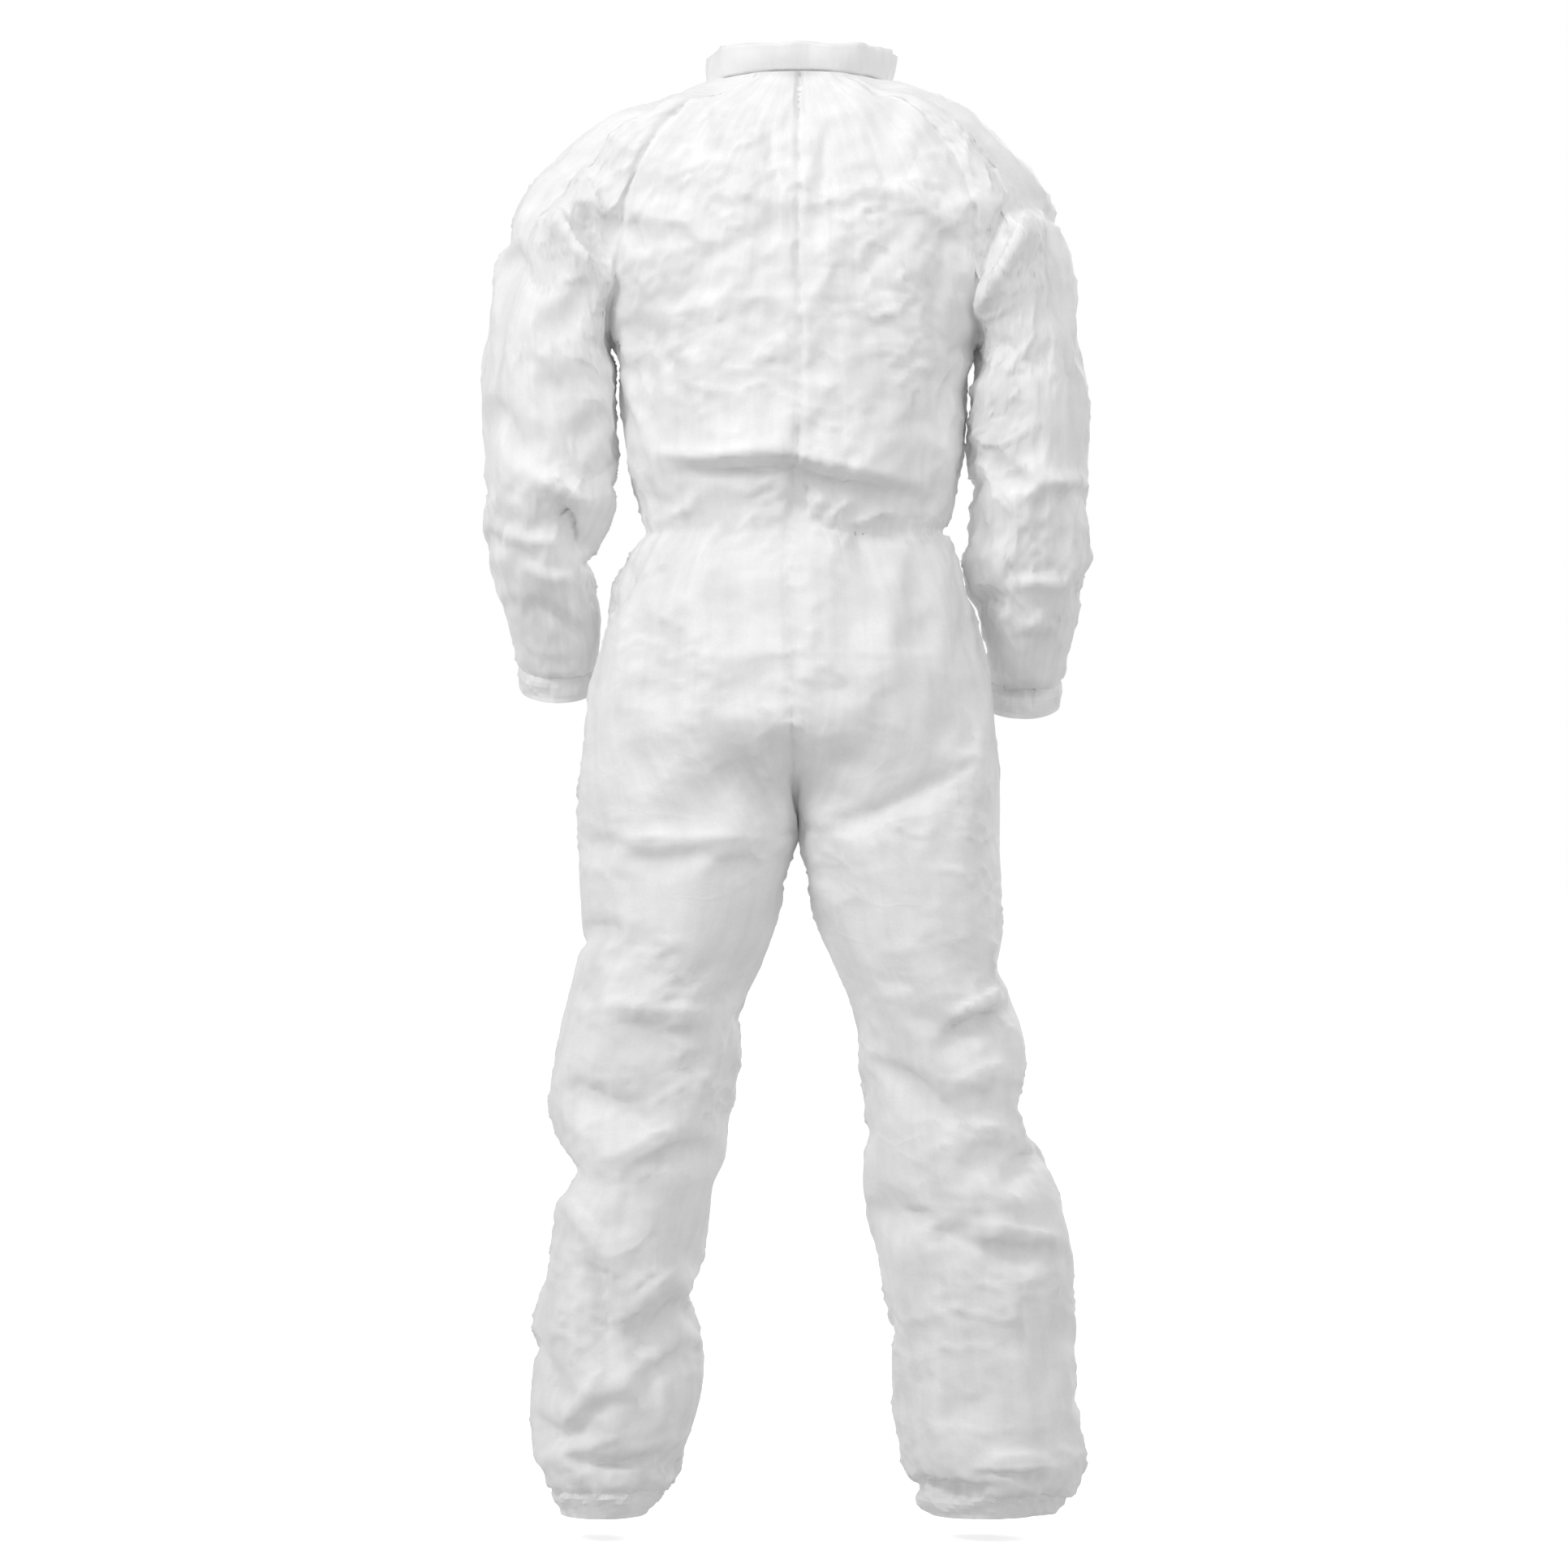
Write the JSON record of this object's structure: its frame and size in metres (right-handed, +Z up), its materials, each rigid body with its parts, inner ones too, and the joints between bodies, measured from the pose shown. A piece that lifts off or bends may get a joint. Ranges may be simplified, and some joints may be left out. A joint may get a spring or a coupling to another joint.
{
  "type": "chemical protective coverall",
  "caption": "Full-body zip-front protective coverall with raglan sleeves, stand collar, storm flap and elastic at waist, wrists and ankles.",
  "frame": {"origin": "middle of the neck opening, level with the collar seam at the back, where the wearer's neck and shoulders hold the suit up", "axes": "+Z up along the wearer's body, -Y the way the wearer faces, +X to the wearer's left"},
  "size_m": [0.654, 0.2806, 1.5522],
  "materials": {
    "nonwoven": "matt white nonwoven polypropylene laminate",
    "elastic": "knitted elastic tape",
    "ribbon": "woven tape",
    "zip_teeth": "moulded nylon",
    "zip_hardware": "white enamelled zinc"
  },
  "bodies": {
    "suit": {"left_back_panel": "nonwoven", "left_front_panel": "nonwoven", "left_seat_panel": "nonwoven", "left_thigh_panel": "nonwoven", "left_upper_sleeve": "nonwoven", "left_zip_tape": "ribbon", "left_zip_chain": "zip_teeth", "left_top_stop": "zip_teeth", "right_back_panel": "nonwoven", "right_front_panel": "nonwoven", "right_seat_panel": "nonwoven", "right_thigh_panel": "nonwoven", "right_upper_sleeve": "nonwoven", "right_zip_tape": "ribbon", "right_zip_chain": "zip_teeth", "right_top_stop": "zip_teeth", "collar": "nonwoven", "collar_facing": "nonwoven", "waist_elastic": "elastic", "size_label": "ribbon", "bottom_stop": "zip_teeth"},
    "left_forearm": {"left_forearm_sleeve": "nonwoven", "left_wrist_hem": "nonwoven", "left_wrist_elastic": "elastic"},
    "left_lower_leg": {"left_calf_panel": "nonwoven", "left_shin_panel": "nonwoven", "left_ankle_hem": "nonwoven", "left_ankle_elastic": "elastic"},
    "right_forearm": {"right_forearm_sleeve": "nonwoven", "right_wrist_hem": "nonwoven", "right_wrist_elastic": "elastic"},
    "right_lower_leg": {"right_calf_panel": "nonwoven", "right_shin_panel": "nonwoven", "right_ankle_hem": "nonwoven", "right_ankle_elastic": "elastic"},
    "flap": {"storm_flap": "nonwoven"},
    "slider": {"zip_slider": "zip_hardware"},
    "pull": {"zip_pull": "zip_hardware"}
  },
  "joints": [
    {"name": "zip_slide", "type": "slide", "parent": "suit", "child": "slider", "axis": [0, -0.0662, -0.9978], "range_m": [0, 0.6]},
    {"name": "zip_pull_swing", "type": "hinge", "parent": "slider", "child": "pull", "pos_m": [0, -0.10065, -0.01712], "axis": [-1, 0, 0], "range_deg": [0, 120]},
    {"name": "storm_flap_hinge", "type": "hinge", "parent": "suit", "child": "flap", "pos_m": [0.028, -0.11797, -0.3052], "axis": [0, 0.0662, 0.9978], "range_deg": [0, 150]},
    {"name": "left_elbow_bend", "type": "hinge", "parent": "suit", "child": "left_forearm", "pos_m": [0.262, -0.082, -0.43], "axis": [-1, 0, 0], "range_deg": [0, 90]},
    {"name": "left_knee_bend", "type": "hinge", "parent": "suit", "child": "left_lower_leg", "pos_m": [0.163, 0.097, -1.09], "axis": [1, 0, 0], "range_deg": [0, 90]},
    {"name": "right_elbow_bend", "type": "hinge", "parent": "suit", "child": "right_forearm", "pos_m": [-0.252, -0.082, -0.43], "axis": [-1, 0, 0], "range_deg": [0, 90]},
    {"name": "right_knee_bend", "type": "hinge", "parent": "suit", "child": "right_lower_leg", "pos_m": [-0.163, 0.097, -1.09], "axis": [1, 0, 0], "range_deg": [0, 90]}
  ],
  "couplings": [
    {"joint": "zip_pull_swing", "follows": "storm_flap_hinge", "ratio": 0.8}
  ]
}
